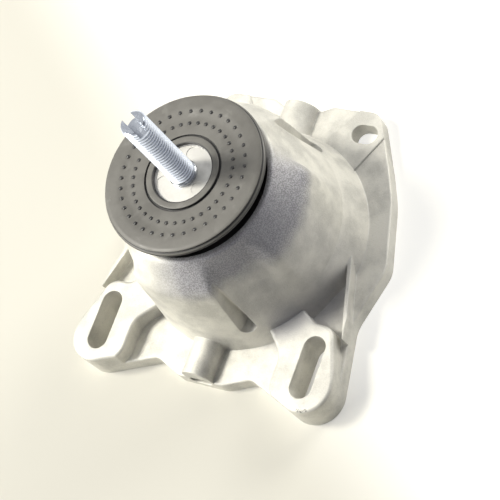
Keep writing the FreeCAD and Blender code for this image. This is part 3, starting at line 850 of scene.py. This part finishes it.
def disc_corners(disc):
    """Corners of the disc's section as (radius, height, rounding), from the hole's foot round to the lip."""
    low, outer = DISC_LOW.z, DISC_HIGH.x
    face = CORE_FACE_Z + disc.recess
    level_in = face_height(disc, disc.dish_in)
    lip_top = face - disc.lip_drop
    groove_out = disc.lip_radius + disc.groove_width
    groove_floor = level_in - disc.groove_depth
    return [
        (disc.inner_radius, low, 0),
        *((outer - inwards, low + up, rounding) for inwards, up, rounding in EDGE_BEAD),
        (outer - EDGE_TOP_IN, face - EDGE_TOP_DOWN, EDGE_TOP_ROUND),
        (disc.face_radius, face, FACE_ROUND),
        (disc.dish_out, face, DISH_ROUND),
        (disc.dish_in, level_in, DISH_ROUND),
        (groove_out, level_in, GROOVE_MOUTH_ROUND),
        (groove_out, groove_floor, GROOVE_FLOOR_ROUND),
        (disc.lip_radius, groove_floor, GROOVE_FLOOR_ROUND),
        (disc.lip_radius, lip_top, LIP_ROUND),
        (disc.inner_radius, lip_top, LIP_ROUND),
    ]


class ENGINEMOUNT_OT_housing(Operator):
    """Give the cast housing its blasted finish"""

    bl_idname = "enginemount.housing"
    bl_label = "Housing"

    def execute(self, context):
        material = cast_aluminium(context.scene.mount_finishes)
        finished(frame["nodes"]["housing"], material)
        return {"FINISHED"}


class ENGINEMOUNT_OT_stud(Operator):
    """Build the zinc-plated stud with its thread and cross slot"""

    bl_idname = "enginemount.stud"
    bl_label = "Stud"

    def execute(self, context):
        sizes = context.scene.mount_stud
        stud = cut_cross_slot(threaded_stud(sizes), sizes)
        finished(stud, zinc_plate(context.scene.mount_finishes))
        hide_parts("stud")
        return {"FINISHED"}


class ENGINEMOUNT_OT_stop_disc(Operator):
    """Build the moulded rubber of the stop disc, with its lip, groove, beaded edge and bumps"""

    bl_idname = "enginemount.stop_disc"
    bl_label = "Stop disc"

    def execute(self, context):
        disc = context.scene.mount_disc
        material = moulded_rubber(context.scene.mount_finishes, disc)
        rubber = turned_piece("stop_disc_face", eased_outline(disc_corners(disc)), disc.segments)
        finished(sharpened(rubber, DISC_CRISP), material)
        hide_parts("stop_disc_rubber")
        self.bumps(disc, material)
        return {"FINISHED"}

    def bumps(self, disc, material):
        """Two rings of domed bumps, realised as one plain mesh."""
        host = bpy.data.objects.new("disc_bumps", bpy.data.meshes.new("disc_bumps"))
        bpy.context.scene.collection.objects.link(host)
        tree = bump_tree(material)
        nodes = host.modifiers.new("bumps", "NODES")
        nodes.node_group = tree
        values = {
            "Count": disc.bump_count,
            "Inner Ring": disc.inner_ring,
            "Outer Ring": disc.outer_ring,
            "Inner Height": face_height(disc, disc.inner_ring),
            "Outer Height": face_height(disc, disc.outer_ring),
            "Phase": disc.bump_phase,
            "Bump Radius": disc.bump_radius,
            "Bump Height": disc.bump_height,
        }
        for name, value in values.items():
            nodes[socket_key(tree, name)] = value
        finished(settle_modifiers(host), material)


class ENGINEMOUNT_OT_inner_pieces(Operator):
    """Give the core, the spring and the pieces inside the bell their finishes"""

    bl_idname = "enginemount.inner_pieces"
    bl_label = "Core and inner pieces"

    def execute(self, context):
        finishes = context.scene.mount_finishes
        steel = plain_metal("plain_steel", finishes.steel, metallic=0.8, rough=0.38)
        plate = plain_metal("plate_aluminium", finishes.plate, metallic=0.7, rough=0.35)
        rubber = soft_rubber(finishes)
        finished(frame["nodes"]["core"], core_metal(finishes))
        for name in ("spring_ring", "bottom_cup", "retaining_ring", "stop_disc_plate"):
            finished(frame["nodes"][name], steel)
        for name in ("channel_plate_upper", "channel_plate_lower"):
            finished(frame["nodes"][name], plate)
        for name in ("main_spring", "decoupler_membrane", "diaphragm"):
            finished(frame["nodes"][name], rubber)
        return {"FINISHED"}


# Lamps: name of the stage's level, azimuth and elevation in degrees, width in metres, and tint
LAMPS = (
    ("key", 196, 56, 0.35, (1.0, 0.97, 0.88)),
    ("side", 62, 20, 0.6, (1.0, 0.98, 0.92)),
    ("front", 225, 25, 0.6, (1.0, 0.98, 0.92)),
)
LAMP_DISTANCE = 1.3

# World: tint of its soft light, and the side that metal mirrors dark, with how squarely a direction faces it
# where the dark begins and is full
AMBIENT_TINT = (0.75, 0.82, 1.0)
DARK_SIDE = (0.951, -0.255, 0.174)
DARK_SIDE_FACING = (0.2, 0.6)
DARK_SIDE_TONE = (0.26, 0.27, 0.31)

# Floor: it glows at a low level at the photograph's left and front, at a high one at its right, and up to
# white far away. Each range is where the glow begins and where it is full, in metres.
FLOOR_RADIUS = 1.6
FLOOR_TONE = (0.60, 0.585, 0.52)
GLOW_X_SHARE = 0.8
GLOW_RANGE = (-0.06, 0.05)
GLOW_LEVELS = (0.13, 0.68)
GLOW_FAR_RANGE = (0.18, 0.6)


def soft_lamp(name, azimuth, elevation, strength, size, tint):
    """Round lamp that gives the object's middle a level of light, where 1 shows a colour as written."""
    data = bpy.data.lights.new(name, "AREA")
    data.shape = "DISK"
    data.color = tint
    data.size = size
    data.energy = strength * (math.pi * LAMP_DISTANCE) ** 2
    lamp = bpy.data.objects.new(name, data)
    bpy.context.scene.collection.objects.link(lamp)
    a, e = math.radians(azimuth), math.radians(elevation)
    direction = Vector((math.cos(a) * math.cos(e), math.sin(a) * math.cos(e), math.sin(e)))
    middle = Vector((0, 0, HOUSING_HIGH.z / 2))
    lamp.location = middle + direction * LAMP_DISTANCE
    lamp.rotation_euler = direction.to_track_quat("Z", "Y").to_euler()


def white_world(ambient):
    """World that looks white, mirrors with a darker side and lights the object softly from all round."""
    world = bpy.data.worlds.new("studio")
    world.use_nodes = True
    nodes = Nodes(world.node_tree)
    soft = nodes.tree.nodes["Background"]
    nodes.put(soft.inputs["Color"], opaque(AMBIENT_TINT))
    nodes.put(soft.inputs["Strength"], ambient)
    direction = nodes.new("ShaderNodeTexCoord").outputs["Generated"]
    in_mirrors = nodes.new("ShaderNodeLightPath").outputs["Is Glossy Ray"]
    facing = nodes.vector_value("DOT_PRODUCT", direction, DARK_SIDE)
    dimmed = nodes.spread(facing, *DARK_SIDE_FACING, 0.0, in_mirrors)
    shade = nodes.mixed(dimmed, (1, 1, 1), DARK_SIDE_TONE)
    white = nodes.new("ShaderNodeBackground", {"Color": shade, "Strength": 1.0})
    mix = nodes.new("ShaderNodeMixShader", {
        0: nodes.seen_directly(), 1: soft.outputs[0], 2: white.outputs[0],
    })
    nodes.put(nodes.tree.nodes["World Output"].inputs["Surface"], mix.outputs[0])
    bpy.context.scene.world = world


def pale_floor():
    """Round pale floor under the object, which takes its shadow and turns white away from it."""
    bm = bmesh.new()
    bmesh.ops.create_circle(bm, cap_ends=True, segments=96, radius=FLOOR_RADIUS)
    floor = piece_from(bm, "floor")
    shader = Shader("floor")
    shader.set(Base_Color=opaque(FLOOR_TONE), Roughness=0.8, Specular_IOR_Level=0.2)
    x, y, _ = shader.parts()
    sideways = shader.new("ShaderNodeMath", {0: x, 1: GLOW_X_SHARE, 2: y}, operation="MULTIPLY_ADD")
    aside = shader.spread(sideways.outputs[0], *GLOW_RANGE, *GLOW_LEVELS)
    far = shader.spread(shader.vector_value("LENGTH", shader.place), *GLOW_FAR_RANGE)
    glow = shader.new("ShaderNodeEmission", {
        "Color": shader.largest(aside, far), "Strength": shader.seen_directly(),
    })
    both = shader.new("ShaderNodeAddShader", {0: shader.principled.outputs[0], 1: glow.outputs[0]})
    shader.put(shader.tree.nodes["Material Output"].inputs["Surface"], both.outputs[0])
    floor.data.materials.append(shader.material)


def photograph_camera(stage):
    """Camera at the photograph's viewpoint, turned about its line of sight as the photograph is."""
    data = bpy.data.cameras.new("camera")
    data.lens = stage.camera_lens
    data.sensor_width = 36
    data.clip_start = 0.05
    data.clip_end = 10
    camera = bpy.data.objects.new("camera", data)
    bpy.context.scene.collection.objects.link(camera)
    place = Vector(stage.camera_place)
    sight = Vector(stage.camera_aim) - place
    upright = sight.to_track_quat("-Z", "Y").to_matrix().to_4x4()
    roll = Matrix.Rotation(-stage.camera_roll, 4, "Z")
    camera.matrix_world = Matrix.Translation(place) @ upright @ roll
    bpy.context.scene.camera = camera


class ENGINEMOUNT_OT_stage(Operator):
    """Build the pale floor, the lights and the camera"""

    bl_idname = "enginemount.stage"
    bl_label = "Stage"

    def execute(self, context):
        stage = context.scene.mount_stage
        pale_floor()
        white_world(stage.ambient)
        for name, azimuth, elevation, size, tint in LAMPS:
            soft_lamp(name + "_light", azimuth, elevation, getattr(stage, name), size, tint)
        photograph_camera(stage)
        context.scene.view_settings.view_transform = "Standard"
        return {"FINISHED"}


class ENGINEMOUNT_PT_panel(Panel):
    """Lists the steps that dress the mount, and the sizes and colours they use"""

    bl_idname = "ENGINEMOUNT_PT_panel"
    bl_label = "Engine mount"
    bl_space_type = "VIEW_3D"
    bl_region_type = "UI"
    bl_category = "Engine mount"

    def draw(self, context):
        layout = self.layout
        for operator in OPERATORS:
            layout.operator(operator.bl_idname)
        for group in GROUPS:
            box = layout.box()
            settings = getattr(context.scene, group)
            for name in settings.bl_rna.properties.keys():
                if name not in ("rna_type", "name"):
                    box.prop(settings, name)


OPERATORS = (
    ENGINEMOUNT_OT_housing,
    ENGINEMOUNT_OT_stud,
    ENGINEMOUNT_OT_stop_disc,
    ENGINEMOUNT_OT_inner_pieces,
    ENGINEMOUNT_OT_stage,
)
GROUPS = {
    "mount_stud": MountStudSizes,
    "mount_disc": MountDiscSizes,
    "mount_finishes": MountFinishes,
    "mount_stage": MountStage,
}
CLASSES = (*GROUPS.values(), *OPERATORS, ENGINEMOUNT_PT_panel)


def register():
    for cls in CLASSES:
        bpy.utils.register_class(cls)
    for name, group in GROUPS.items():
        setattr(bpy.types.Scene, name, PointerProperty(type=group))


def unregister():
    for name in GROUPS:
        delattr(bpy.types.Scene, name)
    for cls in reversed(CLASSES):
        bpy.utils.unregister_class(cls)


def main():
    register()
    bpy.ops.enginemount.housing()
    bpy.ops.enginemount.stud()
    bpy.ops.enginemount.stop_disc()
    bpy.ops.enginemount.inner_pieces()
    bpy.ops.enginemount.stage()


if __name__ == "__main__":
    main()
